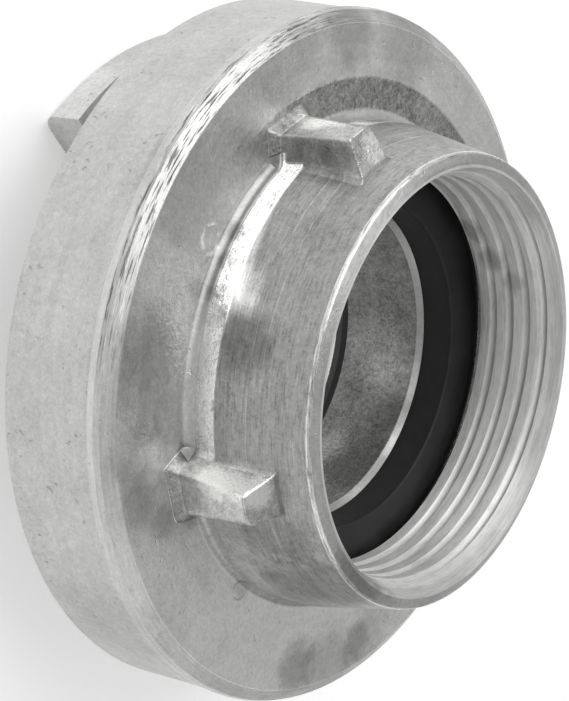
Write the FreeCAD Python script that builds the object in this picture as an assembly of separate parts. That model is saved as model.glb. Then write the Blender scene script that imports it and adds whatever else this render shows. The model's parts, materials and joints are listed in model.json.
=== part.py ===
"""Quarter turn fire hose coupling with a female pipe thread, millimetres, +Z up.

The coupling stands on the tips of its two claws. +Z is the water axis, from the claw
side to the threaded mouth. +X passes through the middle of one claw.
Heights named *_up are measured from the front face, the face that meets the other half.
"""
import FreeCAD, Part
import math
import os

# Claws and overall heights
CLAW_LENGTH = 11.2
FRONT_FACE_Z = CLAW_LENGTH
SHOULDER_UP = 13.97
MOUTH_EDGE_UP = 27.83
MOUTH_FACE_UP = 28.27

# Rim of the head
RIM_FRONT_RADIUS = 40.0
RIM_NECK_RADIUS = 39.42
RIM_BAND_RADIUS = 39.65
RIM_FRONT_ROUND = 0.5
RIM_NECK_UP = 11.3
RIM_BAND_START_UP = 11.55
RIM_BAND_END_UP = 12.4
CHAMFER_OUTER_RADIUS = 39.41
CHAMFER_OUTER_UP = 13.03
CHAMFER_INNER_RADIUS = 37.98

# Shoulder and hub
TURNED_SHOULDER_INNER_RADIUS = 32.15
CAST_SHOULDER_STEP = 0.05
CAST_SHOULDER_STEP_WIDTH = 1.5
HUB_COLLAR_RADIUS = 27.48
HUB_COLLAR_END_UP = 17.46
HUB_FILLET = 1.2
MOUTH_EDGE_RADIUS = 25.17
MOUTH_EDGE_ROUND = 0.3

# Pipe thread, gasket pocket and waterway
THREAD_MAJOR_RADIUS = 23.9
THREAD_END_UP = 16.92
GASKET_SEAT_UP = 11.9
GASKET_THICKNESS = 4.0
GASKET_INNER_RADIUS = 18.5
GASKET_OUTER_RADIUS = 24.3
GASKET_POCKET_CLEARANCE = 0.15
GASKET_EDGE_ROUND = 0.35
WATERWAY_RADIUS = 17.8
WATERWAY_EDGE_BREAK = 0.65

# Nose and the face seal that it holds
NOSE_RADIUS = 25.6
NOSE_EDGE_BREAK = 0.6
SEAL_RIDGE_RADIUS = 19.7
SEAL_RIDGE_UP = 0.97
SEAL_GROOVE_DEPTH = 4.4
SEAL_GROOVE_RADIUS = 23.9
SEAL_LIP_RADIUS = 22.4
SEAL_LIP_THICKNESS = 1.3
SEAL_INNER_RADIUS = 17.95
SEAL_PROUD = 1.5
SEAL_CREST_SET_BACK = 0.75
SEAL_CREST_WIDTH = 2.5
SEAL_CREST_ROUND = 0.55

# Channel behind the rim's lip, for the other half's claws
CHANNEL_RADIUS = 36.6
CHANNEL_DEPTH = 11.6
CHANNEL_CORNER_ROUND = 1.0
LIP_RADIUS = 31.5
LIP_THICKNESS_AT_SLOT = 4.9
LIP_THICKNESS_AT_STOP = 5.4
ENTRY_START_ANGLE = 27.0
ENTRY_END_ANGLE = 77.0
CHANNEL_END_ANGLE = 153.0

# The two claws
CLAW_COUNT = 2
CLAW_SPAN_ANGLE = 46.4
CLAW_INNER_RADIUS = 26.0
CLAW_NECK_RADIUS = 30.9
CLAW_HOOK_RADIUS = 36.0
CLAW_HOOK_THICKNESS = 5.7
CLAW_TIP_ROUND = 2.3
CLAW_EDGE_ROUND = 0.8
CLAW_ROOT_ROUND = 0.9

# Spanner lugs on the hub: the angle of each and the side, +1 or -1, whose edge is worn round
LUGS = ((6.0, -1), (89.5, 1), (227.0, 1))
LUG_RADIUS = 30.4
LUG_TOP_AT_HUB_UP = 24.5
LUG_TOP_AT_EDGE_UP = 22.9
LUG_BASE_WIDTH = 7.2
LUG_EDGE_WIDTH = 5.0
LUG_TOP_BASE_WIDTH = 4.8
LUG_TOP_EDGE_WIDTH = 3.4
LUG_CRISP_ROUND = 0.4
LUG_WORN_ROUND = 1.3
LUG_END_ROUND = 0.3
LUG_ROOT_ROUND = 1.1
LUG_FOOT_FLARE = 0.9
LUG_EMBED = 0.6

FULL_TURN = 360.0
CLAW_PITCH = FULL_TURN / CLAW_COUNT
OVERRUN = 1.0
AXIS = FreeCAD.Vector(0, 0, 1)
ORIGIN = FreeCAD.Vector(0, 0, 0)


def height(up):
    """Height above the floor of a level given from the front face."""
    return FRONT_FACE_Z + up


def revolved(points, angle=FULL_TURN, start=0.0):
    """Solid of a radius and height outline turned about the water axis."""
    outline = [FreeCAD.Vector(radius, 0, level) for radius, level in points]
    face = Part.Face(Part.makePolygon(outline + outline[:1]))
    solid = face.revolve(ORIGIN, AXIS, angle)
    solid.rotate(ORIGIN, AXIS, start)
    return solid


def ring(inner, outer, low, high, angle=FULL_TURN, start=0.0):
    """Ring, or a sector of one, with a rectangular section."""
    points = [(inner, low), (outer, low), (outer, high), (inner, high)]
    return revolved(points, angle, start)


def circle_edges(solid, radius, level, tolerance=0.01):
    """Circular edges of a solid about the water axis at a radius and level."""
    found = []
    for edge in solid.Edges:
        curve = edge.Curve
        if not isinstance(curve, Part.Circle):
            continue
        centre = curve.Center
        on_axis = math.hypot(centre.x, centre.y) < tolerance
        same_level = abs(centre.z - level) < tolerance
        if on_axis and same_level and abs(curve.Radius - radius) < tolerance:
            found.append(edge)
    return found


def rounded_circles(solid, size, rims):
    """The solid with the circular edges at each (radius, level) rounded."""
    edges = []
    for radius, level in rims:
        edges.extend(circle_edges(solid, radius, level))
    return solid.makeFillet(size, edges)


def body_of_revolution():
    """Outside of head, shoulder and hub with the stepped way through it."""
    cast_level = height(SHOULDER_UP - CAST_SHOULDER_STEP)
    seal_floor = height(SEAL_GROOVE_DEPTH)
    points = [
        (WATERWAY_RADIUS, height(SEAL_RIDGE_UP)),
        (SEAL_RIDGE_RADIUS, height(SEAL_RIDGE_UP)),
        (SEAL_RIDGE_RADIUS, seal_floor),
        (SEAL_GROOVE_RADIUS, seal_floor),
        (SEAL_GROOVE_RADIUS, height(SEAL_LIP_THICKNESS)),
        (SEAL_LIP_RADIUS, height(SEAL_LIP_THICKNESS)),
        (SEAL_LIP_RADIUS, height(0)),
        (RIM_FRONT_RADIUS - RIM_FRONT_ROUND, height(0)),
        (RIM_FRONT_RADIUS, height(RIM_FRONT_ROUND)),
        (RIM_NECK_RADIUS, height(RIM_NECK_UP)),
        (RIM_BAND_RADIUS, height(RIM_BAND_START_UP)),
        (RIM_BAND_RADIUS, height(RIM_BAND_END_UP)),
        (CHAMFER_OUTER_RADIUS, height(CHAMFER_OUTER_UP)),
        (CHAMFER_INNER_RADIUS, height(SHOULDER_UP)),
        (TURNED_SHOULDER_INNER_RADIUS, height(SHOULDER_UP)),
        (TURNED_SHOULDER_INNER_RADIUS - CAST_SHOULDER_STEP_WIDTH, cast_level),
        (HUB_COLLAR_RADIUS, cast_level),
        (HUB_COLLAR_RADIUS, height(HUB_COLLAR_END_UP)),
        (MOUTH_EDGE_RADIUS, height(MOUTH_EDGE_UP)),
        (THREAD_MAJOR_RADIUS, height(MOUTH_FACE_UP)),
        (THREAD_MAJOR_RADIUS, height(THREAD_END_UP)),
        (GASKET_OUTER_RADIUS + GASKET_POCKET_CLEARANCE, height(THREAD_END_UP)),
        (GASKET_OUTER_RADIUS + GASKET_POCKET_CLEARANCE, height(GASKET_SEAT_UP)),
        (WATERWAY_RADIUS + WATERWAY_EDGE_BREAK, height(GASKET_SEAT_UP)),
        (WATERWAY_RADIUS, height(GASKET_SEAT_UP - WATERWAY_EDGE_BREAK)),
    ]
    blank = revolved(points)
    blank = rounded_circles(blank, HUB_FILLET, [(HUB_COLLAR_RADIUS, cast_level)])
    return rounded_circles(blank, MOUTH_EDGE_ROUND, [(MOUTH_EDGE_RADIUS, height(MOUTH_EDGE_UP))])


def channel(start):
    """Metal taken away for one of the other half's claws, from its entry slot to its stop."""
    entry_angle = ENTRY_END_ANGLE - ENTRY_START_ANGLE
    channel_angle = CHANNEL_END_ANGLE - ENTRY_START_ANGLE
    floor_level = height(CHANNEL_DEPTH)
    way_in = ring(
        NOSE_RADIUS, CHANNEL_RADIUS, height(0) - OVERRUN, floor_level,
        entry_angle, start + ENTRY_START_ANGLE,
    )
    front_gap = ring(
        NOSE_RADIUS, LIP_RADIUS, height(0) - OVERRUN, floor_level,
        channel_angle, start + ENTRY_START_ANGLE,
    )
    behind_lip = ring(
        NOSE_RADIUS, CHANNEL_RADIUS, height(LIP_THICKNESS_AT_STOP), floor_level,
        channel_angle, start + ENTRY_START_ANGLE,
    )
    space = way_in.fuse([front_gap, behind_lip, lip_ramp_space(start)]).removeSplitter()
    corners = [(NOSE_RADIUS, floor_level), (CHANNEL_RADIUS, floor_level)]
    return rounded_circles(space, CHANNEL_CORNER_ROUND, corners)


def lip_ramp_space(start):
    """Space that makes the lip thinner beside its entry slot and full at its stop."""
    rise = LIP_THICKNESS_AT_STOP - LIP_THICKNESS_AT_SLOT
    turn = CHANNEL_END_ANGLE - ENTRY_END_ANGLE
    low = height(LIP_THICKNESS_AT_SLOT)
    high = height(LIP_THICKNESS_AT_STOP) + OVERRUN
    inner = LIP_RADIUS - OVERRUN
    ramp = Part.makeHelix(rise * FULL_TURN / turn, rise, inner)
    profile = Part.makePolygon([
        FreeCAD.Vector(inner, 0, 0),
        FreeCAD.Vector(CHANNEL_RADIUS, 0, 0),
        FreeCAD.Vector(CHANNEL_RADIUS, 0, OVERRUN + rise),
        FreeCAD.Vector(inner, 0, OVERRUN + rise),
        FreeCAD.Vector(inner, 0, 0),
    ])
    space = Part.Wire(ramp).makePipeShell([profile], True, True)
    space.translate(FreeCAD.Vector(0, 0, low))
    space.rotate(ORIGIN, AXIS, start + ENTRY_END_ANGLE)
    keep = ring(
        LIP_RADIUS - OVERRUN / 2, CHANNEL_RADIUS, low - OVERRUN, high,
        turn, start + ENTRY_END_ANGLE,
    )
    return space.common(keep)


def claw(start):
    """One hooked claw standing out of the front face."""
    first = start - CLAW_SPAN_ANGLE / 2
    points = [
        (CLAW_INNER_RADIUS, height(OVERRUN)),
        (CLAW_INNER_RADIUS, 0),
        (CLAW_HOOK_RADIUS, 0),
        (CLAW_HOOK_RADIUS, CLAW_HOOK_THICKNESS),
        (CLAW_NECK_RADIUS, CLAW_HOOK_THICKNESS),
        (CLAW_NECK_RADIUS, height(OVERRUN)),
    ]
    blank = revolved(points, CLAW_SPAN_ANGLE, first)
    blank = rounded_circles(blank, CLAW_TIP_ROUND, [(CLAW_HOOK_RADIUS, 0)])
    blank = rounded_circles(blank, CLAW_EDGE_ROUND, [(CLAW_INNER_RADIUS, 0)])
    root = [(CLAW_NECK_RADIUS, CLAW_HOOK_THICKNESS)]
    return rounded_circles(blank, CLAW_ROOT_ROUND, root)


def rounded_outline(corners, level):
    """Closed outline at a level through (x, y, radius) corners, each rounded by its radius."""
    points = [FreeCAD.Vector(x, y, level) for x, y, radius in corners]
    edges = []
    last = None
    first = None
    for index, (point, corner) in enumerate(zip(points, corners)):
        back = (points[index - 1] - point).normalize()
        on = (points[(index + 1) % len(points)] - point).normalize()
        half = back.getAngle(on) / 2
        reach = corner[2] / math.tan(half)
        inward = (back + on).normalize()
        start = point + back * reach
        if last is not None:
            edges.append(Part.makeLine(last, start))
        if corner[2]:
            middle = point + inward * (corner[2] / math.sin(half) - corner[2])
            edges.append(Part.Arc(start, middle, point + on * reach).toShape())
        first = first or start
        last = point + on * reach
    edges.append(Part.makeLine(last, first))
    return Part.Wire(edges)


def hub_radius(up):
    """Outside radius of the hub at a level: a short collar, then a cone to the mouth."""
    if up <= HUB_COLLAR_END_UP:
        return HUB_COLLAR_RADIUS
    share = (up - HUB_COLLAR_END_UP) / (MOUTH_EDGE_UP - HUB_COLLAR_END_UP)
    return HUB_COLLAR_RADIUS + share * (MOUTH_EDGE_RADIUS - HUB_COLLAR_RADIUS)


def lug_section(up, flare, worn_side):
    """Outline of a lug at a level, larger by flare, with concave roots against the hub."""
    bottom = SHOULDER_UP + LUG_FOOT_FLARE
    share = max(0.0, (up - bottom) / (LUG_TOP_AT_HUB_UP - bottom))
    root = (LUG_BASE_WIDTH + share * (LUG_TOP_BASE_WIDTH - LUG_BASE_WIDTH)) / 2 + flare
    edge = (LUG_EDGE_WIDTH + share * (LUG_TOP_EDGE_WIDTH - LUG_EDGE_WIDTH)) / 2 + flare
    hub = hub_radius(up)
    spread = root + 2 * LUG_ROOT_ROUND
    corners = []
    for side in (-1, 1):
        round_edge = LUG_WORN_ROUND if side == worn_side else LUG_CRISP_ROUND
        half = [
            (math.sqrt(hub ** 2 - spread ** 2), side * spread, 0.0),
            (math.sqrt(hub ** 2 - root ** 2), side * root, LUG_ROOT_ROUND),
            (LUG_RADIUS + flare, side * edge, round_edge),
        ]
        corners.extend(half if side < 0 else reversed(half))
    return rounded_outline(corners, height(up))


def lug(angle, worn_side):
    """One drafted spanner lug between the shoulder and the hub, its end sloped."""
    levels = [
        (SHOULDER_UP - CAST_SHOULDER_STEP - LUG_EMBED, LUG_FOOT_FLARE + LUG_EMBED),
        (SHOULDER_UP + LUG_FOOT_FLARE, 0.0),
        (HUB_COLLAR_END_UP, 0.0),
        (LUG_TOP_AT_HUB_UP + OVERRUN, 0.0),
    ]
    sections = [lug_section(up, flare, worn_side) for up, flare in levels]
    blank = Part.makeLoft(sections, True, True)
    inside = HUB_COLLAR_RADIUS / 2
    over = height(LUG_TOP_AT_HUB_UP) + 2 * OVERRUN
    slope = Part.Face(Part.makePolygon([
        FreeCAD.Vector(inside, -LUG_BASE_WIDTH, over),
        FreeCAD.Vector(inside, -LUG_BASE_WIDTH, height(LUG_TOP_AT_HUB_UP)),
        FreeCAD.Vector(MOUTH_EDGE_RADIUS, -LUG_BASE_WIDTH, height(LUG_TOP_AT_HUB_UP)),
        FreeCAD.Vector(LUG_RADIUS + OVERRUN, -LUG_BASE_WIDTH, height(LUG_TOP_AT_EDGE_UP)),
        FreeCAD.Vector(LUG_RADIUS + OVERRUN, -LUG_BASE_WIDTH, over),
        FreeCAD.Vector(inside, -LUG_BASE_WIDTH, over),
    ])).extrude(FreeCAD.Vector(0, 2 * LUG_BASE_WIDTH, 0))
    ready = blank.cut(slope)
    end = [edge for edge in ready.Edges if is_end_edge(edge)]
    ready = ready.makeFillet(LUG_END_ROUND, end)
    ready.rotate(ORIGIN, AXIS, angle)
    return ready


def is_end_edge(edge):
    """Whether an edge bounds a lug's sloped end outside the hub."""
    slope = (LUG_TOP_AT_EDGE_UP - LUG_TOP_AT_HUB_UP) / (LUG_RADIUS + OVERRUN - MOUTH_EDGE_RADIUS)
    for vertex in edge.Vertexes:
        level = height(LUG_TOP_AT_HUB_UP) + slope * (vertex.X - MOUTH_EDGE_RADIUS)
        if abs(vertex.Z - level) > LUG_EMBED / 10 or vertex.X < HUB_COLLAR_RADIUS:
            return False
    return True


def coupling_body():
    """The cast and turned metal body with its claws, channels and lugs."""
    body = body_of_revolution()
    body = body.fuse([lug(angle, worn_side) for angle, worn_side in LUGS])
    for index in range(CLAW_COUNT):
        start = index * CLAW_PITCH
        body = body.cut(channel(start))
    for index in range(CLAW_COUNT):
        body = body.fuse(claw(index * CLAW_PITCH))
    body = body.removeSplitter()
    nose = circle_edges(body, NOSE_RADIUS, height(0))
    return body.makeChamfer(NOSE_EDGE_BREAK, nose) if nose else body


def face_seal():
    """The rubber seal held in the nose, proud of the front face."""
    crest = height(-SEAL_PROUD)
    crest_inner = SEAL_INNER_RADIUS + SEAL_CREST_SET_BACK
    crest_outer = crest_inner + SEAL_CREST_WIDTH
    points = [
        (SEAL_INNER_RADIUS, height(SEAL_RIDGE_UP)),
        (SEAL_INNER_RADIUS, height(0)),
        (crest_inner, crest),
        (crest_outer, crest),
        (SEAL_LIP_RADIUS, height(0)),
        (SEAL_LIP_RADIUS, height(SEAL_LIP_THICKNESS)),
        (SEAL_GROOVE_RADIUS, height(SEAL_LIP_THICKNESS)),
        (SEAL_GROOVE_RADIUS, height(SEAL_GROOVE_DEPTH)),
        (SEAL_RIDGE_RADIUS, height(SEAL_GROOVE_DEPTH)),
        (SEAL_RIDGE_RADIUS, height(SEAL_RIDGE_UP)),
    ]
    blank = revolved(points)
    rims = [(crest_inner, crest), (crest_outer, crest)]
    return rounded_circles(blank, SEAL_CREST_ROUND, rims)


def thread_gasket():
    """The flat rubber gasket at the bottom of the pipe thread."""
    low = height(GASKET_SEAT_UP)
    high = low + GASKET_THICKNESS
    blank = ring(GASKET_INNER_RADIUS, GASKET_OUTER_RADIUS, low, high)
    rims = [(GASKET_INNER_RADIUS, high), (GASKET_OUTER_RADIUS, high)]
    return rounded_circles(blank, GASKET_EDGE_ROUND, rims)


PARTS = {
    "coupling_body": coupling_body,
    "face_seal": face_seal,
    "thread_gasket": thread_gasket,
}

os.makedirs("parts", exist_ok=True)
for name, build in PARTS.items():
    shape = build()
    shape.exportStep("parts/" + name + ".step")
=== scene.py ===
import json
import math

import bmesh
import bpy
from mathutils import Matrix, Vector


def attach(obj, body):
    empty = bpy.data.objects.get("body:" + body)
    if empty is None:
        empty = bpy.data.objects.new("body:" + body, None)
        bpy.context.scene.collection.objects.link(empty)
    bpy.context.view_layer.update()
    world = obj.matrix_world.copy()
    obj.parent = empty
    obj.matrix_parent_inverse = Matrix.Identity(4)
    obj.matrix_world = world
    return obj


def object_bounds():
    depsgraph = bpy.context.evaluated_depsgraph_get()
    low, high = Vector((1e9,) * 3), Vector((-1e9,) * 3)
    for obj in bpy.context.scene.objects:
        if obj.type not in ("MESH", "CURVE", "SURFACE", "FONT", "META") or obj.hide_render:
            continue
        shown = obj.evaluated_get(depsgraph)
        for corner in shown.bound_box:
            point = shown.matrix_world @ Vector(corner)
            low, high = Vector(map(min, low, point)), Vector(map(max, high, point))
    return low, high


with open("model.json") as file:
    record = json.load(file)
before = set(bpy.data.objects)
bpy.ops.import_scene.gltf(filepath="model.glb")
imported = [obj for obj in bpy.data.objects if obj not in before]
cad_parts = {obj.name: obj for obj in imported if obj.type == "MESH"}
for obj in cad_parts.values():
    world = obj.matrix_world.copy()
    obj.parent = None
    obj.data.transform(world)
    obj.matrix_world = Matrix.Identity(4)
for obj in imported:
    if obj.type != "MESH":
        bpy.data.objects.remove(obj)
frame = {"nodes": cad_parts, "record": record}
cad_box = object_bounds()

MM = 0.001

# Camera at the photograph's viewing angle: its place in metres, the picture's right and up, the way
# back, the sensor and the lens in millimetres, and the nearest distance that shows, in metres
CAMERA_PLACE = (0.09599, 0.14217, 0.14440)
CAMERA_RIGHT = (-0.16037, -0.59941, 0.78421)
CAMERA_UP = (0.87915, -0.44795, -0.16260)
CAMERA_BACK = (0.44875, 0.66337, 0.59881)
CAMERA_SENSOR = 36.0
CAMERA_LENS = 94.58
CAMERA_NEAR = 0.01

# Studio: a large pale floor, an even grey world and two soft lamps
FLOOR_HALF = 4.0
FLOOR_TONE = 0.86
FLOOR_ROUGHNESS = 0.9
FLOOR_SHINE = 0.1
FLOOR_GLOW = 0.38
WORLD_TONE = 0.42
# Lamps: azimuth and elevation in degrees, distance, width and height in metres, power in watts
LAMPS = {
    "key_lamp": (-17.0, 50.0, 0.62, 0.62, 0.60, 2.35),
    "side_lamp": (150.0, 35.0, 0.80, 0.40, 0.40, 0.5),
}
AIM = (0.0, 0.0, 0.02)

# Levels and radii of the coupling's surfaces, in millimetres, as the materials read them.
# SHOULDER_UP is the shoulder's height over the front face.
FRONT_FACE = frame["record"]["mounts"][1]["pos_m"][2] / MM
SHOULDER_UP = 13.97
SHOULDER = FRONT_FACE + SHOULDER_UP
COLLAR_END = FRONT_FACE + 17.46
MOUTH_EDGE = FRONT_FACE + 27.83
MOUTH_FACE = cad_box[1][2] / MM
RIM_CAST_END = FRONT_FACE + 11.4
COLLAR_RADIUS = 27.48
MOUTH_EDGE_RADIUS = 25.17
CAST_RING_RADIUS = 32.15
FILLET_RADIUS = 28.6
FILLET_END = SHOULDER + 1.1
CHAMFER_RADIUS = 37.98
CHAMFER_LOW = FRONT_FACE + 12.45
BORE_RADIUS = 17.8
BORE_EDGE_RADIUS = 18.5
BORE_EDGE_LOW = FRONT_FACE + 11.25
GASKET_SEAT = FRONT_FACE + 11.9

# Height bands of the kinds of surface: from, to, and how softly both ends fade
BANDS = {
    "level": (SHOULDER - 0.30, SHOULDER + 0.30, 0.06),
    "fillet": (SHOULDER + 0.02, FILLET_END, 0.05),
    "collar": (FILLET_END, COLLAR_END, 0.10),
    # heights of the painted shade on the foot of the hub
    "under": (SHOULDER + 0.02, COLLAR_END + 0.30, 0.06),
    "hub": (COLLAR_END + 0.05, MOUTH_EDGE, 0.15),
    # heights of the painted shade at the lugs' feet
    "lug_foot": (SHOULDER - 0.50, SHOULDER + 0.90, 0.12),
    "mouth": (MOUTH_EDGE - 0.12, MOUTH_FACE + 1.00, 0.06),
    "lip": (MOUTH_EDGE - 0.35, MOUTH_FACE + 1.00, 0.06),
    "chamfer": (CHAMFER_LOW, SHOULDER - 0.03, 0.03),
    "band": (RIM_CAST_END, CHAMFER_LOW, 0.03),
    "bore": (FRONT_FACE, BORE_EDGE_LOW, 0.05),
    "bore_edge": (BORE_EDGE_LOW, GASKET_SEAT + 0.50, 0.05),
}
# From where to where a surface fades into the next, by height or radius. The hub's and the lug's
# widths are measured out from the hub's side, and the lug's heights up from the shoulder.
HUB_SKIN_OUT = (1.30, 1.60)
LUG_FOOT_OUT = (1.25, 1.45)
LUG_FOOT_UP = (0.02, 0.06)
LUG_SIDE_OUT = (0.25, 0.55)
LUG_SIDE_UP = (1.30, 1.70)
HEAD_EDGE = (CHAMFER_RADIUS - 0.06, CHAMFER_RADIUS)
LIP_EDGE = (MOUTH_EDGE_RADIUS - 0.30, MOUTH_EDGE_RADIUS - 0.20)
WATERWAY = (BORE_EDGE_RADIUS, BORE_EDGE_RADIUS + 0.10)
RIM_EDGE = (RIM_CAST_END - 0.10, RIM_CAST_END + 0.10)
CAST_RING_SOFT = 0.25

# Stretches of the way round, by their middle and half angle in degrees: the rough cast ring, the
# dull part of the shoulder, also painted darker as painted shade, the scoured foot of the hub, the
# foot of the hub in painted shade, the place where the scouring spreads on the hub, and the edge
# that other couplings have knocked against. SECTOR_SOFT is how softly they end, as a cosine.
CAST_RING = (-30.0, 43.0)
DULL_AND_PAINTED_SHADE = (46.0, 44.0)
SCOURED = (20.0, 32.0)
PAINTED_SHADE_UNDER_HUB = (122.0, 38.0)
SPREAD = (45.0, 9.0)
KNOCKED = (24.0, 37.0)
SECTOR_SOFT = 0.07

# The normal at the foot of the hub leans outwards and up where the foot is scoured: direction and
# amount of the lean, how far over the shoulder it starts, from where to where it fades at the
# collar's end, how much farther it reaches where it spreads, and its share on the rest of the foot
LEAN = (0.71, 0.32, 0.91)
LEAN_START = 0.55
LEAN_FADE = (-0.15, 0.60)
SPREAD_REACH = 3.2
LEAN_ELSEWHERE = 0.30

# Finish of each kind of surface on the body: tone, roughness, share of bare metal, share of cast
# skin, grain, mottle, tone and depth of the turning marks, and strength of the torn dashes
TONE, ROUGHNESS, METAL, CAST, GRAIN, MOTTLE, TURNING, DEPTH, TORN = range(9)
FINISH = {
    "shoulder": (0.90, 0.33, 1.00, 0.60, 1.20, 0.48, 0.40, 0.30, 0.00),
    # the shoulder's dull part, painted darker as painted shade
    "dull": (0.64, 0.40, 1.00, 0.65, 1.20, 0.52, 0.40, 0.30, 0.00),
    "cast_ring": (0.39, 0.42, 1.00, 0.90, 1.60, 1.20, 0.30, 0.30, 0.00),
    "fillet": (0.78, 0.40, 1.00, 0.50, 0.60, 0.60, 0.40, 0.40, 0.00),
    "scoured_fillet": (0.42, 0.36, 1.00, 0.50, 0.60, 0.60, 0.40, 0.40, 0.00),
    # the collar, its turned finish with the tone raised to full as a painted highlight
    "collar": (1.00, 0.22, 1.00, 0.60, 1.10, 1.30, 0.50, 0.40, 0.30),
    "scoured_collar": (0.64, 0.24, 1.00, 0.70, 1.40, 1.45, 0.50, 0.40, 0.50),
    # the foot of the hub, painted darker as painted shade
    "under": (0.46, 0.46, 1.00, 0.60, 0.80, 0.80, 0.50, 0.40, 0.10),
    "hub": (0.43, 0.44, 1.00, 0.50, 0.80, 0.80, 0.50, 0.35, 0.42),
    "lug": (0.60, 0.30, 1.00, 0.90, 0.90, 0.70, 0.00, 0.00, 0.00),
    # the lugs' feet, painted darker as painted shade where they meet the shoulder
    "lug_foot": (0.40, 0.42, 1.00, 0.90, 1.40, 1.00, 0.00, 0.00, 0.00),
    "mouth": (0.61, 0.36, 1.00, 0.50, 1.00, 0.60, 0.50, 0.40, 0.16),
    "lip": (0.80, 0.36, 1.00, 0.30, 1.40, 0.80, 0.50, 0.60, 0.70),
    "chamfer": (0.68, 0.46, 1.00, 0.45, 0.80, 0.50, 0.70, 0.50, 0.20),
    "worn_chamfer": (0.62, 0.42, 1.00, 0.12, 0.80, 0.60, 1.00, 0.90, 0.84),
    "band": (0.62, 0.42, 1.00, 0.50, 0.80, 0.40, 0.80, 0.60, 0.16),
    "rim": (0.62, 0.52, 0.80, 1.00, 1.00, 0.28, 0.00, 0.00, 0.00),
    "bore": (0.35, 0.44, 1.00, 1.00, 3.60, 0.95, 0.00, 0.00, 0.00),
    "bore_edge": (0.48, 0.46, 1.00, 0.40, 0.80, 0.50, 0.50, 0.30, 0.10),
}
# The body gives back no more than this share of the light, and both metals a little less blue
BRIGHTEST = 0.97
METAL_BLUE = 0.985

# Lines left by the tool on the hub: height over the front face, half width, change of tone
HUB_LINES = ((22.35, 0.09, 0.70), (22.75, 0.07, -0.30), (21.0, 0.08, 0.60), (19.6, 0.05, 0.30))
# How far the torn dashes break those lines up: from and to on the dashes, least and full strength
LINE_BREAKS = (-0.2, 0.3, 0.35, 1.0)

# Stains and scuffs, with painted highlights and painted shade where the groups say so: radius, angle
# and height over the front face of the middle, size, and the share by which the tone changes there
MARKS = (
    # shoulder: darker patches, the two at 78.5 and 80.6 degrees painted shade beside a lug
    (35.0, 34.0, SHOULDER_UP, 7.0, -0.22),
    (34.0, 60.0, SHOULDER_UP, 5.6, -0.16),
    (35.0, 78.5, SHOULDER_UP, 4.4, -0.30),
    (31.0, 80.6, SHOULDER_UP, 2.0, -0.30),
    (35.2, 87.0, SHOULDER_UP, 3.2, -0.20),
    (32.6, 93.0, SHOULDER_UP, 2.6, -0.30),
    (29.4, 96.5, SHOULDER_UP, 2.2, -0.30),
    (28.5, 123.5, SHOULDER_UP, 1.4, -0.20),
    (35.3, 150.0, SHOULDER_UP, 4.2, -0.36),
    (36.5, 160.0, SHOULDER_UP, 6.5, -0.24),
    (35.1, 168.8, SHOULDER_UP, 3.2, -0.28),
    (36.0, 172.0, SHOULDER_UP, 5.5, -0.18),
    (37.0, -3.0, SHOULDER_UP, 4.0, -0.20),
    (37.0, -15.0, SHOULDER_UP, 5.0, -0.30),
    (36.5, -32.0, SHOULDER_UP, 7.0, -0.22),
    # collar
    (COLLAR_RADIUS, 33.0, 14.9, 1.6, -0.40),
    (COLLAR_RADIUS, 40.0, 15.3, 1.5, -0.40),
    (COLLAR_RADIUS, 47.0, 15.5, 1.6, -0.34),
    # hub: the two lighter patches are a painted highlight, those at 102 and 122 degrees painted shade
    (27.3, 44.0, 18.5, 2.6, 0.90),
    (27.1, 48.5, 19.0, 1.8, 0.70),
    (27.0, 56.5, 19.9, 4.4, -0.42),
    (26.0, 28.0, 25.0, 5.0, -0.12),
    (26.3, 102.0, 22.0, 6.0, -0.34),
    (25.8, 122.0, 25.0, 9.0, -0.46),
    # lug beside the claw: lighter patches are painted highlights, darker ones painted shade
    (30.4, 3.0, 17.0, 3.0, 0.80),
    (29.4, 2.0, 19.5, 2.6, 0.45),
    (28.0, 4.0, 23.4, 2.4, 0.50),
    (29.2, 11.5, 18.0, 3.4, -0.42),
    (28.4, 11.5, 21.5, 3.0, -0.42),
    # lug a quarter turn on: painted shade at its foot, painted highlights on its faces
    (28.5, 81.8, 14.6, 1.3, -0.65),
    (30.0, 85.0, 18.8, 2.4, 0.80),
    (29.4, 84.0, 20.8, 2.6, 0.70),
    (28.6, 86.5, 23.6, 2.2, 0.90),
    # rim and claw: painted shade on one side of the rim, painted light on the claw's end
    (39.6, 110.0, 9.0, 9.0, -0.14),
    (36.0, 18.0, -5.5, 10.0, 0.25),
    # thread
    (22.6, -70.0, 18.3, 2.4, -0.40),
    (22.6, -81.0, 20.0, 2.2, -0.36),
    (22.6, -88.0, 22.4, 1.8, -0.32),
    # waterway
    (BORE_RADIUS, -165.0, 9.0, 6.0, -0.40),
    (BORE_RADIUS, -128.0, 8.4, 4.6, 0.34),
    (BORE_RADIUS, -140.0, 10.5, 4.0, -0.36),
    (BORE_RADIUS, -116.0, 6.0, 6.0, 0.34),
    (BORE_RADIUS, -160.0, 4.5, 3.0, 0.80),
)
# Dents with a broken raised edge: radius, angle, height, size and change of tone on the edge
# Their edges are only in the tone: a lighter edge is a painted highlight, a darker one painted shade
DENTS = (
    (29.6, 37.5, SHOULDER_UP, 1.9, 0.60),
    (28.9, 123.2, SHOULDER_UP, 1.4, -0.36),
)
# A mark fades between these shares of its size, and its edge is this ragged
MARK_FADE = (0.35, 1.05)
MARK_RAGGED = 0.9
# A dent's edge: from and to in its mark, and softness. It is broken where the noise is low.
DENT_EDGE = (0.15, 0.55, 0.12)
DENT_BREAKS = (0.42, 0.58)

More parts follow.
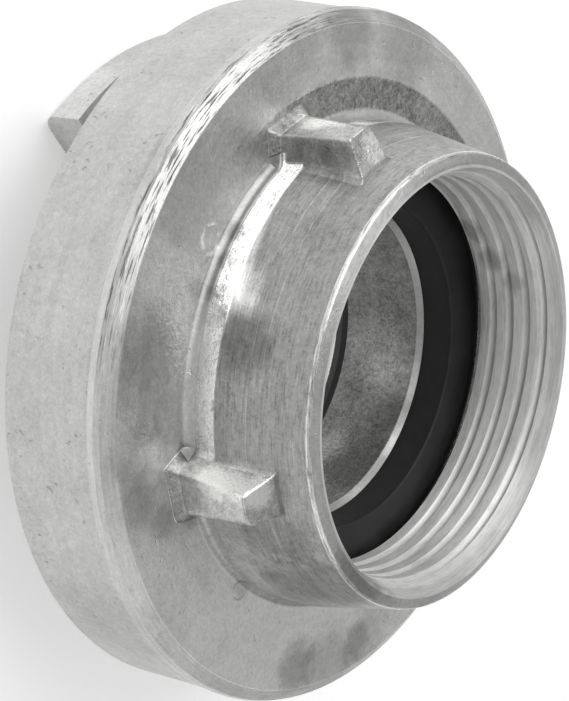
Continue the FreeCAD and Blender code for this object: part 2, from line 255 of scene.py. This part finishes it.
# Noise textures: fineness per millimetre, levels of detail and roughness
CLOUDS = (0.16, 4.0, 0.6)
BLOTCHES = (0.55, 5.0, 0.7)
SPECKLE = (1.7, 5.0, 0.7)
FINE_GRAIN = (4.2, 3.0, 0.6)
FLECKS = (1.3, 3.0, 0.55)
FLECKED_PARTS = (0.10, 1.0, 0.5)
RAGGED_EDGE = (0.45, 4.0, 0.65)
BROKEN_EDGE = (0.9, 3.0, 0.6)
DUST = (0.35, 4.0, 0.6)
RUBBER_GRAIN = (5.0, 2.0, 0.5)
# Layers of the cast skin: texture, share in the tone, and depth in millimetres
CAST_LAYERS = (
    (CLOUDS, 1.0, 0.0),
    (BLOTCHES, 1.0, 0.10),
    (SPECKLE, 1.9, 0.07),
    (FINE_GRAIN, 1.4, 0.03),
)
# Dark flecks: from and to in their noise, the same for the parts that have them, change of tone
# and depth in millimetres
FLECK_RISE = (0.64, 0.71)
FLECKED_PARTS_RISE = (0.43, 0.57)
FLECK_TONE = -0.30
FLECK_DEPTH = -0.06
# Rings of the lathe: fineness across them, how often they break up on the way round, and detail
FINE_RINGS = (5.0, 3.0, 3.0)
BROAD_RINGS = (1.2, 3.2, 3.0)
STRETCHES = (0.22, 3.4, 4.0)
TORN_RINGS = (5.0, 13.0, 3.0)
RING_ROUGHNESS = 0.6
# Share in the tone and depth in millimetres of the fine rings, the broad ones and the stretches
RING_TONES = (0.50, 0.45, 0.60)
RING_DEPTHS = (0.010, 0.014, 0.0)
# Roughness that the broad rings add: from and to in their noise, least and most
RING_GLOSS = (0.3, 0.7, -0.05, 0.07)
# Torn dashes: from and to in their noise for the light and the dark ones, and depth in millimetres
LIGHT_DASHES = (0.56, 0.68)
DARK_DASHES = (0.49, 0.37)
DASH_DEPTH = 0.02

# Thread's finish. The painted shade at the bottom of the groove runs from and to a distance out from
# the crests, and has the share of the tone before it and in it.
THREAD_TONE = 0.95
THREAD_ROUGHNESS = 0.45
THREAD_BARE_METAL = 0.55
THREAD_TURNING = 0.8
THREAD_DASHES = 0.12
THREAD_ROOT_PAINTED_SHADE = (0.45, 0.85, 1.0, 0.80)
THREAD_STREAKS = 0.75
THREAD_STREAKS_TURN = 0.25

# Rubber of the gasket and of the face seal: tone and roughness
GASKET_RUBBER = (0.016, 0.52)
SEAL_RUBBER = (0.016, 0.42)
# Dust on both: from and to in its noise with the share of the tone there, from and to for the
# roughness with its change there, then the rubber's share of blue, its grain in millimetres and shine
DUST_TONES = (0.3, 0.75, 0.8, 1.5)
DUST_RANGE = (0.3, 0.7)
DUST_ROUGHNESS = (-0.06, 0.08)
RUBBER_BLUE = 1.02
RUBBER_GRAIN_DEPTH = 0.03
RUBBER_SHINE = 0.35

# Pipe thread, in millimetres and degrees
THREAD_MOUNT = frame["record"]["mounts"][0]
THREAD_WALL = THREAD_MOUNT["dims"]["r_mm"]
THREAD_LENGTH = THREAD_MOUNT["dims"]["length_mm"]
THREAD_LOW = THREAD_MOUNT["pos_m"][2] / MM - THREAD_LENGTH / 2
THREAD_HIGH = THREAD_LOW + THREAD_LENGTH
THREAD_MINOR = 22.42
THREAD_PITCH = 2.309
THREAD_CREST = 1.25
THREAD_ROOT_FLAT = 0.10
THREAD_HALF_ANGLE = 27.5
THREAD_EMBED = 0.06
THREAD_OVERCUT = 0.3
THREAD_STEPS = 120
THREAD_SPARE_TURNS = 2
THREAD_START_UP = -2.3
THREAD_PHASE = -117.0
THREAD_SMOOTH_ANGLE = 20.0
COUNTERSINK_DEPTH = 2.9
COUNTERSINK_MOUTH_RADIUS = 23.56
MOUTH_SET_BACK = 0.03
MERGE_DISTANCE = 0.001


def deselect_all():
    """Nothing is selected, so that the next operator acts on the new piece only."""
    if bpy.context.mode != "OBJECT":
        bpy.ops.object.mode_set(mode="OBJECT")
    bpy.ops.object.select_all(action="DESELECT")


def take_up(piece):
    """The piece becomes the only selected and the active object."""
    deselect_all()
    piece.select_set(True)
    bpy.context.view_layer.objects.active = piece


def settle(piece):
    """The piece's place goes into its mesh."""
    take_up(piece)
    bpy.ops.object.transform_apply(location=True, rotation=True, scale=True)


def select_corners(piece, wanted):
    """In edit mode, only the vertices that wanted says yes to are selected."""
    bpy.ops.mesh.select_mode(type="VERT")
    bpy.ops.mesh.select_all(action="DESELECT")
    mesh = bmesh.from_edit_mesh(piece.data)
    for corner in mesh.verts:
        if wanted(corner):
            corner.select_set(True)
    mesh.select_flush_mode()
    bmesh.update_edit_mesh(piece.data)


def apply_all(piece):
    """All modifiers of the piece are applied."""
    take_up(piece)
    for modifier in list(piece.modifiers):
        bpy.ops.object.modifier_apply(modifier=modifier.name)


def add_camera():
    """The camera at the photograph's viewing angle."""
    data = bpy.data.cameras.new("camera")
    data.sensor_width = CAMERA_SENSOR
    data.lens = CAMERA_LENS
    data.clip_start = CAMERA_NEAR
    camera = bpy.data.objects.new("camera", data)
    bpy.context.scene.collection.objects.link(camera)
    turn = Matrix((CAMERA_RIGHT, CAMERA_UP, CAMERA_BACK)).transposed()
    camera.matrix_world = Matrix.Translation(CAMERA_PLACE) @ turn.to_4x4()
    bpy.context.scene.camera = camera


def add_lamp(name, azimuth, elevation, distance, width, tall, power):
    """A soft lamp that points at the coupling."""
    data = bpy.data.lights.new(name, "AREA")
    data.shape = "RECTANGLE"
    data.size = width
    data.size_y = tall
    data.energy = power
    lamp = bpy.data.objects.new(name, data)
    bpy.context.scene.collection.objects.link(lamp)
    turn, lift = math.radians(azimuth), math.radians(elevation)
    level = math.cos(lift)
    away = Vector((level * math.cos(turn), level * math.sin(turn), math.sin(lift)))
    lamp.location = Vector(AIM) + away * distance
    lamp.rotation_euler = away.to_track_quat("Z", "Y").to_euler()


def add_world():
    """An even grey world."""
    world = bpy.data.worlds.new("studio")
    world.use_nodes = True
    background = world.node_tree.nodes["Background"]
    background.inputs["Color"].default_value = (WORLD_TONE, WORLD_TONE, WORLD_TONE, 1.0)
    background.inputs["Strength"].default_value = 1.0
    bpy.context.scene.world = world


def add_floor():
    """The pale floor. A faint glow for what looks at it brings it near to white."""
    deselect_all()
    bpy.ops.mesh.primitive_plane_add(size=2 * FLOOR_HALF, location=(0, 0, 0))
    floor = bpy.context.object
    floor.name = "floor"
    settle(floor)
    material, tree, shader = new_material("pale_floor")
    shader["Base Color"].default_value = (FLOOR_TONE, FLOOR_TONE, FLOOR_TONE, 1.0)
    shader["Roughness"].default_value = FLOOR_ROUGHNESS
    shader["Specular IOR Level"].default_value = FLOOR_SHINE
    path = tree.nodes.new("ShaderNodeLightPath").outputs
    seen = calc(tree, "MAXIMUM", path["Is Camera Ray"], path["Is Glossy Ray"])
    seen = calc(tree, "MAXIMUM", seen, path["Is Transmission Ray"])
    shader["Emission Color"].default_value = (1.0, 1.0, 1.0, 1.0)
    feed(tree, calc(tree, "MULTIPLY", seen, FLOOR_GLOW), shader["Emission Strength"])
    floor.data.materials.append(material)


def feed(tree, value, socket):
    """A value or another node's output goes into a socket."""
    if isinstance(value, bpy.types.NodeSocket):
        tree.links.new(value, socket)
    else:
        socket.default_value = value


def calc(tree, operation, *values):
    """Result of a sum on one to three values."""
    node = tree.nodes.new("ShaderNodeMath")
    node.operation = operation
    for value, socket in zip(values, node.inputs):
        feed(tree, value, socket)
    return node.outputs[0]


def vector_calc(tree, operation, *values):
    """The sockets that a sum on one or two vectors puts out."""
    node = tree.nodes.new("ShaderNodeVectorMath")
    node.operation = operation
    for value, socket in zip(values, node.inputs):
        feed(tree, value, socket)
    return node.outputs


def ramp(tree, value, low, high, start, end, kind="LINEAR"):
    """A ramp from start to end as value goes from low to high, straight unless kind says how."""
    node = tree.nodes.new("ShaderNodeMapRange")
    node.interpolation_type = kind
    feed(tree, value, node.inputs["Value"])
    for name, bound in zip(("From Min", "From Max", "To Min", "To Max"), (low, high, start, end)):
        feed(tree, bound, node.inputs[name])
    return node.outputs[0]


def rise(tree, value, low, high, start=0.0, end=1.0):
    """A soft step from start to end as value goes from low to high."""
    return ramp(tree, value, low, high, start, end, "SMOOTHSTEP")


def between(tree, value, low, high, soft):
    """Mask that is one where value lies between low and high."""
    above = rise(tree, value, low - soft, low + soft)
    below = rise(tree, value, high - soft, high + soft, 1.0, 0.0)
    return calc(tree, "MULTIPLY", above, below)


def noise(tree, place, texture, extra=None):
    """Soft noise around one half, in three dimensions or, with extra, in four."""
    node = tree.nodes.new("ShaderNodeTexNoise")
    feed(tree, place, node.inputs["Vector"])
    for name, value in zip(("Scale", "Detail", "Roughness"), texture):
        node.inputs[name].default_value = value
    if extra is not None:
        node.noise_dimensions = "4D"
        feed(tree, extra, node.inputs["W"])
    return node.outputs["Fac"]


def swung(tree, pattern, amount, start):
    """The start value plus a noise pattern's swing about its middle."""
    return calc(tree, "MULTIPLY_ADD", calc(tree, "SUBTRACT", pattern, 0.5), amount, start)


def blend_tone(tree, factor, first, second):
    """A number that goes from first to second with factor."""
    node = tree.nodes.new("ShaderNodeMix")
    node.data_type = "FLOAT"
    feed(tree, factor, node.inputs[0])
    feed(tree, first, node.inputs[2])
    feed(tree, second, node.inputs[3])
    return node.outputs[0]


def blend_vector(tree, factor, first, second):
    """A vector that goes from first to second with factor."""
    node = tree.nodes.new("ShaderNodeMix")
    node.data_type = "VECTOR"
    feed(tree, factor, node.inputs[0])
    feed(tree, first, node.inputs[4])
    feed(tree, second, node.inputs[5])
    return node.outputs[1]


def stack(tree, x, y, z):
    """Vector of three numbers."""
    node = tree.nodes.new("ShaderNodeCombineXYZ")
    for value, socket in zip((x, y, z), node.inputs):
        feed(tree, value, socket)
    return node.outputs[0]


def grey(tree, tone, blue):
    """A nearly neutral colour of a tone, with its share of blue."""
    node = tree.nodes.new("ShaderNodeCombineColor")
    for value, socket in zip((tone, tone, calc(tree, "MULTIPLY", tone, blue)), node.inputs):
        feed(tree, value, socket)
    return node.outputs[0]


def relief_normal(tree, height_mm):
    """Normal that a relief given in millimetres makes."""
    node = tree.nodes.new("ShaderNodeBump")
    node.inputs["Strength"].default_value = 1.0
    node.inputs["Distance"].default_value = MM
    feed(tree, height_mm, node.inputs["Height"])
    return node.outputs[0]


def round_axis(tree):
    """Direction round the water axis, in which the lathe tool ran."""
    node = tree.nodes.new("ShaderNodeTangent")
    node.direction_type = "RADIAL"
    node.axis = "Z"
    return node.outputs[0]


def new_group(name, inputs, outputs):
    """Empty shader node group with named sockets, its tree and its two end nodes."""
    group = bpy.data.node_groups.new(name, "ShaderNodeTree")
    for socket, kind in inputs.items():
        group.interface.new_socket(socket, in_out="INPUT", socket_type=kind)
    for socket, kind in outputs.items():
        group.interface.new_socket(socket, in_out="OUTPUT", socket_type=kind)
    start = group.nodes.new("NodeGroupInput")
    end = group.nodes.new("NodeGroupOutput")
    return group, start.outputs, end.inputs


def use_group(tree, group, **values):
    """A group placed in a material, its inputs fed by name. Returns its outputs."""
    node = tree.nodes.new("ShaderNodeGroup")
    node.node_tree = group
    for name, value in values.items():
        feed(tree, value, node.inputs[name])
    return node.outputs


def new_material(name):
    """A material, its node tree and its shader's inputs."""
    material = bpy.data.materials.new(name)
    material.use_nodes = True
    tree = material.node_tree
    return material, tree, tree.nodes["Principled BSDF"].inputs


# Kinds of socket that the groups have
FLOAT, VECTOR = "NodeSocketFloat", "NodeSocketVector"


def place_group():
    """Where a point lies on the coupling: millimetres, radius, height and the way round."""
    group, given, result = new_group(
        "turned_place", {"Position": VECTOR},
        {"Millimetres": VECTOR, "Radius": FLOAT, "Height": FLOAT, "Across": FLOAT, "Along": FLOAT},
    )
    scale = group.nodes.new("ShaderNodeVectorMath")
    scale.operation = "SCALE"
    feed(group, given["Position"], scale.inputs[0])
    scale.inputs["Scale"].default_value = 1.0 / MM
    split = group.nodes.new("ShaderNodeSeparateXYZ")
    feed(group, scale.outputs[0], split.inputs[0])
    x, y, z = split.outputs
    radius = calc(group, "SQRT", calc(group, "MULTIPLY_ADD", x, x, calc(group, "MULTIPLY", y, y)))
    feed(group, scale.outputs[0], result["Millimetres"])
    feed(group, radius, result["Radius"])
    feed(group, z, result["Height"])
    feed(group, calc(group, "DIVIDE", x, radius), result["Across"])
    feed(group, calc(group, "DIVIDE", y, radius), result["Along"])
    return group


def cast_group():
    """Skin of a casting: mottled tone, grain and a few ragged dark flecks."""
    group, given, result = new_group(
        "cast_skin", {"Millimetres": VECTOR, "Grain": FLOAT, "Mottle": FLOAT},
        {"Tone": FLOAT, "Relief": FLOAT},
    )
    place = given["Millimetres"]
    swing, bumps = 0.0, 0.0
    for texture, share, depth in CAST_LAYERS:
        layer = noise(group, place, texture)
        swing = swung(group, layer, share, swing)
        bumps = calc(group, "MULTIPLY_ADD", layer, depth, bumps)
    flecks = rise(group, noise(group, place, FLECKS), *FLECK_RISE)
    flecked = rise(group, noise(group, place, FLECKED_PARTS), *FLECKED_PARTS_RISE)
    flecks = calc(group, "MULTIPLY", flecks, flecked)
    tone = calc(group, "MULTIPLY_ADD", swing, given["Mottle"], 1.0)
    dirt = calc(group, "MULTIPLY_ADD", flecks, FLECK_TONE, 1.0)
    feed(group, calc(group, "MULTIPLY", tone, dirt), result["Tone"])
    bumps = calc(group, "MULTIPLY", bumps, given["Grain"])
    feed(group, calc(group, "MULTIPLY_ADD", flecks, FLECK_DEPTH, bumps), result["Relief"])
    return group


def turned_group():
    """Marks of a lathe tool: fine rings, broad ones, dull and bright stretches, and torn dashes."""
    group, given, result = new_group(
        "turned_marks",
        {"Radius": FLOAT, "Height": FLOAT, "Across": FLOAT, "Along": FLOAT,
         "Strength": FLOAT, "Depth": FLOAT},
        {"Tone": FLOAT, "Roughness": FLOAT, "Relief": FLOAT, "Dashes": FLOAT},
    )

    def rings(fineness, breaks, detail):
        """Noise drawn out on the way round."""
        around = stack(group, calc(group, "MULTIPLY", given["Across"], breaks),
                       calc(group, "MULTIPLY", given["Along"], breaks),
                       calc(group, "MULTIPLY", given["Height"], fineness))
        outward = calc(group, "MULTIPLY", given["Radius"], fineness)
        return noise(group, around, (1.0, detail, RING_ROUGHNESS), outward)

    fine, broad, stretches = rings(*FINE_RINGS), rings(*BROAD_RINGS), rings(*STRETCHES)
    torn = rings(*TORN_RINGS)
    light, dark = rise(group, torn, *LIGHT_DASHES), rise(group, torn, *DARK_DASHES)
    feed(group, calc(group, "SUBTRACT", light, dark), result["Dashes"])
    swing, relief = 0.0, 0.0
    for layer, share, depth in zip((fine, broad, stretches), RING_TONES, RING_DEPTHS):
        swing = swung(group, layer, share, swing)
        relief = calc(group, "MULTIPLY_ADD", layer, depth, relief)
    feed(group, calc(group, "MULTIPLY_ADD", swing, given["Strength"], 1.0), result["Tone"])
    feed(group, rise(group, broad, *RING_GLOSS), result["Roughness"])
    feed(group, calc(group, "MULTIPLY", relief, given["Depth"]), result["Relief"])
    return group


def stain_and_painted_light_patch_group():
    """A ragged round patch about a centre, in millimetres."""
    group, given, result = new_group(
        "smudge", {"Millimetres": VECTOR, "Centre": VECTOR, "Size": FLOAT}, {"Mask": FLOAT},
    )
    gap = vector_calc(group, "DISTANCE", given["Millimetres"], given["Centre"])["Value"]
    share = calc(group, "DIVIDE", gap, given["Size"])
    share = swung(group, noise(group, given["Millimetres"], RAGGED_EDGE), MARK_RAGGED, share)
    feed(group, rise(group, share, *MARK_FADE, 1.0, 0.0), result["Mask"])
    return group


def locate(tree, groups):
    """Outputs of the place group at the shaded point."""
    coordinates = tree.nodes.new("ShaderNodeTexCoord")
    return use_group(tree, groups["place"], Position=coordinates.outputs["Object"])


def tool_marks(tree, groups, place, strength, depth):
    """Outputs of the lathe's marks at the shaded point."""
    return use_group(tree, groups["turned"], Radius=place["Radius"], Height=place["Height"],
                     Across=place["Across"], Along=place["Along"], Strength=strength, Depth=depth)


def hub_radius(tree, height):
    """Radius of the hub's outside at a height: a short collar, then a cone."""
    return ramp(tree, height, COLLAR_END, MOUTH_EDGE, COLLAR_RADIUS, MOUTH_EDGE_RADIUS)


def toward(tree, place, middle, half):
    """Mask of a stretch of the way round, by its middle and half angle in degrees."""
    turn, stop = math.radians(middle), math.cos(math.radians(half))
    facing = calc(tree, "MULTIPLY_ADD", place["Across"], math.cos(turn),
                  calc(tree, "MULTIPLY", place["Along"], math.sin(turn)))
    return rise(tree, facing, stop - SECTOR_SOFT, stop + SECTOR_SOFT)


def zone_masks(tree, place):
    """Where each kind of surface of the body lies. A later one covers an earlier one."""
    radius, height = place["Radius"], place["Height"]
    over_shoulder = calc(tree, "SUBTRACT", height, SHOULDER)
    off_hub = calc(tree, "SUBTRACT", radius, hub_radius(tree, height))

    def band(zone):
        """Mask of a zone's heights."""
        return between(tree, height, *BANDS[zone])

    def within(first, *others):
        """Where all the masks are."""
        for other in others:
            first = calc(tree, "MULTIPLY", first, other)
        return first

    def facing(sector):
        """Mask of a stretch of the way round."""
        return toward(tree, place, *sector)

    level = band("level")
    at_hub = rise(tree, off_hub, *HUB_SKIN_OUT, 1.0, 0.0)
    at_head = rise(tree, radius, *HEAD_EDGE)
    at_lip = rise(tree, radius, *LIP_EDGE)
    in_waterway = rise(tree, radius, *WATERWAY, 1.0, 0.0)
    ring = between(tree, radius, FILLET_RADIUS, CAST_RING_RADIUS, CAST_RING_SOFT)
    fillet = within(at_hub, band("fillet"))
    collar = within(at_hub, band("collar"))
    chamfer = within(at_head, band("chamfer"))
    foot = within(rise(tree, off_hub, *LUG_FOOT_OUT), rise(tree, over_shoulder, *LUG_FOOT_UP))
    side = within(rise(tree, off_hub, *LUG_SIDE_OUT), rise(tree, over_shoulder, *LUG_SIDE_UP))
    lug = calc(tree, "MAXIMUM", foot, side)
    return {
        # The shoulder's dull part is also painted shade
        "dull": within(level, facing(DULL_AND_PAINTED_SHADE)),
        "cast_ring": within(level, ring, facing(CAST_RING)),
        "fillet": fillet,
        "scoured_fillet": within(fillet, facing(SCOURED)),
        "collar": collar,
        "scoured_collar": within(collar, facing(SCOURED)),
        # Painted shade on the foot of the hub
        "under": within(at_hub, band("under"), facing(PAINTED_SHADE_UNDER_HUB)),
        "hub": within(at_hub, band("hub")),
        "lug": lug,
        # Painted shade at the lugs' feet
        "lug_foot": within(lug, band("lug_foot")),
        "mouth": band("mouth"),
        "lip": within(at_lip, band("lip")),
        "chamfer": chamfer,
        "worn_chamfer": within(chamfer, facing(KNOCKED)),
        "band": within(at_head, band("band")),
        "rim": rise(tree, height, *RIM_EDGE, 1.0, 0.0),
        "bore": within(in_waterway, band("bore")),
        "bore_edge": within(in_waterway, band("bore_edge")),
    }


def by_zone(tree, masks, column):
    """One value of the finish, the shoulder's first, changed zone by zone."""
    value = FINISH["shoulder"][column]
    for zone, mask in masks.items():
        if FINISH[zone][column] != value:
            value = blend_tone(tree, mask, value, FINISH[zone][column])
    return value


def patch_mask(tree, groups, place, reach, angle, up, size):
    """Mask of a ragged patch, by its middle's radius, angle and height, and its size."""
    turn = math.radians(angle)
    centre = (reach * math.cos(turn), reach * math.sin(turn), FRONT_FACE + up)
    return use_group(tree, groups["smudge"], Millimetres=place["Millimetres"], Centre=centre,
                     Size=size)["Mask"]


def toned(tree, tone, mask, amount):
    """The tone, changed by a share of itself where the mask is."""
    return calc(tree, "MULTIPLY", tone, calc(tree, "MULTIPLY_ADD", mask, amount, 1.0))


def marked(tree, groups, place, tone):
    """The tone with the coupling's stains, scuffs, painted highlights, painted shade and dents on it.
    """
    for *middle, size, amount in MARKS:
        tone = toned(tree, tone, patch_mask(tree, groups, place, *middle, size), amount)
    broken = rise(tree, noise(tree, place["Millimetres"], BROKEN_EDGE), *DENT_BREAKS)
    for *middle, size, amount in DENTS:
        edge = between(tree, patch_mask(tree, groups, place, *middle, size), *DENT_EDGE)
        tone = toned(tree, tone, calc(tree, "MULTIPLY", edge, broken), amount)
    return tone


def lined(tree, place, marks, hub, tone):
    """The tone with the lines that the tool left on the hub."""
    breaks = rise(tree, marks["Dashes"], *LINE_BREAKS)
    for up, half, amount in HUB_LINES:
        low, high = FRONT_FACE + up - half, FRONT_FACE + up + half
        line = calc(tree, "MULTIPLY", between(tree, place["Height"], low, high, half / 2), hub)
        line = calc(tree, "MULTIPLY", line, breaks)
        tone = calc(tree, "MULTIPLY_ADD", line, amount, tone)
    return tone


def lean_share(tree, place, lug):
    """How far the normal leans at the foot of the hub: fully where it is scoured, else a little."""
    height = place["Height"]
    fade_low, fade_high = COLLAR_END + LEAN_FADE[0], COLLAR_END + LEAN_FADE[1]
    start = rise(tree, height, SHOULDER + LEAN_START, FILLET_END)
    top = calc(tree, "MULTIPLY_ADD", toward(tree, place, *SPREAD), SPREAD_REACH, fade_high)
    share = calc(tree, "MULTIPLY", start, rise(tree, height, fade_low, top, 1.0, 0.0))
    scoured = blend_tone(tree, toward(tree, place, *SCOURED), LEAN_ELSEWHERE, 1.0)
    share = calc(tree, "MULTIPLY", share, scoured)
    return calc(tree, "MULTIPLY", share, calc(tree, "SUBTRACT", 1.0, lug))


def body_normal(tree, place, relief, lug):
    """Normal of the body's relief, which leans at the foot of the hub."""
    slope = vector_calc(tree, "DOT_PRODUCT", place["Millimetres"], LEAN)["Value"]
    leaning = relief_normal(tree, calc(tree, "SUBTRACT", relief, slope))
    turned = blend_vector(tree, lean_share(tree, place, lug), relief_normal(tree, relief), leaning)
    return vector_calc(tree, "NORMALIZE", turned)[0]


def body_metal(groups):
    """Aluminium casting, turned bright on the rim's edge, the shoulder, the hub and the mouth."""
    material, tree, shader = new_material("cast_and_turned_aluminium")
    place = locate(tree, groups)
    masks = zone_masks(tree, place)

    def finish(column):
        """One value of the finish, all over the body."""
        return by_zone(tree, masks, column)

    cast = finish(CAST)
    skin = use_group(tree, groups["cast"], Millimetres=place["Millimetres"],
                     Grain=finish(GRAIN), Mottle=finish(MOTTLE))
    marks = tool_marks(tree, groups, place, finish(TURNING), finish(DEPTH))
    dashes = calc(tree, "MULTIPLY", marks["Dashes"], finish(TORN))
    turned_tone = lined(tree, place, marks, masks["hub"], calc(tree, "ADD", marks["Tone"], dashes))
    tone = blend_tone(tree, cast, turned_tone, skin["Tone"])
    # The marks add painted highlights and painted shade to the tone, besides stains and scuffs
    tone = marked(tree, groups, place, calc(tree, "MULTIPLY", tone, finish(TONE)))
    feed(tree, grey(tree, calc(tree, "MINIMUM", tone, BRIGHTEST), METAL_BLUE), shader["Base Color"])
    feed(tree, calc(tree, "ADD", finish(ROUGHNESS), marks["Roughness"]), shader["Roughness"])
    turned_relief = calc(tree, "MULTIPLY_ADD", dashes, DASH_DEPTH, marks["Relief"])
    relief = blend_tone(tree, cast, turned_relief, skin["Relief"])
    feed(tree, body_normal(tree, place, relief, masks["lug"]), shader["Normal"])
    feed(tree, finish(METAL), shader["Metallic"])
    return material


def thread_metal(groups):
    """Bright turned thread, painted darker towards the bottom of its groove as painted shade."""
    material, tree, shader = new_material("turned_thread_aluminium")
    place = locate(tree, groups)
    marks = tool_marks(tree, groups, place, THREAD_TURNING, THREAD_TURNING)
    off_crest = calc(tree, "SUBTRACT", place["Radius"], THREAD_MINOR)
    tone = calc(tree, "MULTIPLY_ADD", marks["Dashes"], THREAD_DASHES, marks["Tone"])
    tone = calc(tree, "MULTIPLY", tone, THREAD_TONE)
    # Painted shade towards the bottom of the groove
    tone = calc(tree, "MULTIPLY", tone, rise(tree, off_crest, *THREAD_ROOT_PAINTED_SHADE))
    tone = marked(tree, groups, place, tone)
    feed(tree, grey(tree, tone, METAL_BLUE), shader["Base Color"])
    feed(tree, calc(tree, "ADD", marks["Roughness"], THREAD_ROUGHNESS), shader["Roughness"])
    feed(tree, relief_normal(tree, marks["Relief"]), shader["Normal"])
    feed(tree, round_axis(tree), shader["Tangent"])
    shader["Metallic"].default_value = THREAD_BARE_METAL
    shader["Anisotropic"].default_value = THREAD_STREAKS
    shader["Anisotropic Rotation"].default_value = THREAD_STREAKS_TURN
    return material


def rubber(groups, name, base, roughness):
    """Black moulded rubber with a little dust."""
    material, tree, shader = new_material(name)
    place = locate(tree, groups)
    dust = noise(tree, place["Millimetres"], DUST)
    tone = calc(tree, "MULTIPLY", rise(tree, dust, *DUST_TONES), base)
    smooth, rough = (roughness + change for change in DUST_ROUGHNESS)
    grain = calc(tree, "MULTIPLY", noise(tree, place["Millimetres"], RUBBER_GRAIN), RUBBER_GRAIN_DEPTH)
    feed(tree, grey(tree, tone, RUBBER_BLUE), shader["Base Color"])
    feed(tree, rise(tree, dust, *DUST_RANGE, smooth, rough), shader["Roughness"])
    feed(tree, relief_normal(tree, grain), shader["Normal"])
    shader["Specular IOR Level"].default_value = RUBBER_SHINE
    return material


def countersink_cutter():
    """Cone that opens the thread towards the mouth."""
    low = THREAD_HIGH - COUNTERSINK_DEPTH
    slope = (COUNTERSINK_MOUTH_RADIUS - THREAD_MINOR) / COUNTERSINK_DEPTH
    high = THREAD_HIGH + THREAD_PITCH
    top_radius = THREAD_MINOR + slope * (high - low)
    deselect_all()
    bpy.ops.mesh.primitive_cone_add(
        vertices=THREAD_STEPS * 2, radius1=THREAD_MINOR * MM, radius2=top_radius * MM,
        depth=(high - low) * MM, location=(0, 0, (low + high) / 2 * MM),
    )
    cutter = bpy.context.object
    settle(cutter)
    return cutter


def bore_cutter():
    """Cylinder of the thread's inner radius."""
    deselect_all()
    bpy.ops.mesh.primitive_cylinder_add(
        vertices=THREAD_STEPS * 2, radius=THREAD_MINOR * MM, depth=2 * THREAD_LENGTH * MM,
        location=(0, 0, (THREAD_LOW + THREAD_HIGH) / 2 * MM),
    )
    cutter = bpy.context.object
    settle(cutter)
    return cutter


def groove_cutter():
    """Helical cutter of the thread's groove."""
    width = THREAD_PITCH - THREAD_CREST
    slope = math.tan(math.radians(THREAD_HALF_ANGLE))
    depth = (width - THREAD_ROOT_FLAT) / 2 / slope
    inner, outer = THREAD_MINOR - THREAD_OVERCUT, THREAD_MINOR + depth
    wide = width + 2 * THREAD_OVERCUT * slope
    middle, start = (inner + outer) / 2 * MM, (THREAD_LOW + THREAD_START_UP) * MM
    deselect_all()
    bpy.ops.mesh.primitive_plane_add(
        size=1.0, location=(middle, 0, start), rotation=(math.pi / 2, 0, 0),
    )
    cutter = bpy.context.object
    cutter.scale = ((outer - inner) * MM, wide * MM, 1.0)
    settle(cutter)
    bpy.ops.object.mode_set(mode="EDIT")
    select_corners(cutter, lambda corner: corner.co.x > middle)
    bpy.ops.transform.resize(value=(1, 1, THREAD_ROOT_FLAT / wide), center_override=(0, 0, start))
    bpy.ops.mesh.select_mode(type="FACE")
    bpy.ops.mesh.select_all(action="SELECT")
    bpy.ops.mesh.delete(type="ONLY_FACE")
    bpy.ops.object.mode_set(mode="OBJECT")
    screw = cutter.modifiers.new("winding", "SCREW")
    screw.axis = "Z"
    screw.angle = 2 * math.pi
    screw.screw_offset = THREAD_PITCH * MM
    screw.iterations = math.ceil(THREAD_LENGTH / THREAD_PITCH) + THREAD_SPARE_TURNS
    screw.steps = screw.render_steps = THREAD_STEPS
    apply_all(cutter)
    bpy.ops.object.mode_set(mode="EDIT")
    bpy.ops.mesh.select_all(action="SELECT")
    bpy.ops.mesh.remove_doubles(threshold=MERGE_DISTANCE * MM)
    bpy.ops.mesh.fill_holes(sides=0)
    bpy.ops.mesh.select_all(action="SELECT")
    bpy.ops.mesh.normals_make_consistent(inside=False)
    bpy.ops.object.mode_set(mode="OBJECT")
    cutter.rotation_euler = (0, 0, math.radians(THREAD_PHASE))
    settle(cutter)
    return cutter


def pipe_thread():
    """Sleeve against the bore's wall, with the thread's groove and the countersink cut in it."""
    high = THREAD_HIGH - MOUTH_SET_BACK
    deselect_all()
    bpy.ops.mesh.primitive_cylinder_add(
        vertices=THREAD_STEPS * 2, radius=(THREAD_WALL + THREAD_EMBED) * MM,
        depth=(high - THREAD_LOW) * MM, location=(0, 0, (THREAD_LOW + high) / 2 * MM),
    )
    sleeve = bpy.context.object
    sleeve.name = "pipe_thread"
    settle(sleeve)
    for cutter in (bore_cutter(), countersink_cutter(), groove_cutter()):
        cut = sleeve.modifiers.new("cut", "BOOLEAN")
        cut.operation = "DIFFERENCE"
        cut.solver = "EXACT"
        cut.object = cutter
        apply_all(sleeve)
        bpy.data.objects.remove(cutter)
    take_up(sleeve)
    bpy.ops.object.shade_smooth_by_angle(angle=math.radians(THREAD_SMOOTH_ANGLE))
    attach(sleeve, "root")
    return sleeve


def dress(node, material):
    """A node of the frame gets its finish."""
    for slot in frame["nodes"][node].material_slots:
        slot.material = material


add_camera()
add_world()
add_floor()
for lamp_name, lamp_values in LAMPS.items():
    add_lamp(lamp_name, *lamp_values)

shared = {
    "place": place_group(),
    "cast": cast_group(),
    "turned": turned_group(),
    "smudge": stain_and_painted_light_patch_group(),
}
dress("coupling_body", body_metal(shared))
dress("thread_gasket", rubber(shared, "gasket_rubber", *GASKET_RUBBER))
dress("face_seal", rubber(shared, "seal_rubber", *SEAL_RUBBER))
pipe_thread().data.materials.append(thread_metal(shared))

bpy.context.scene.view_settings.view_transform = "Standard"
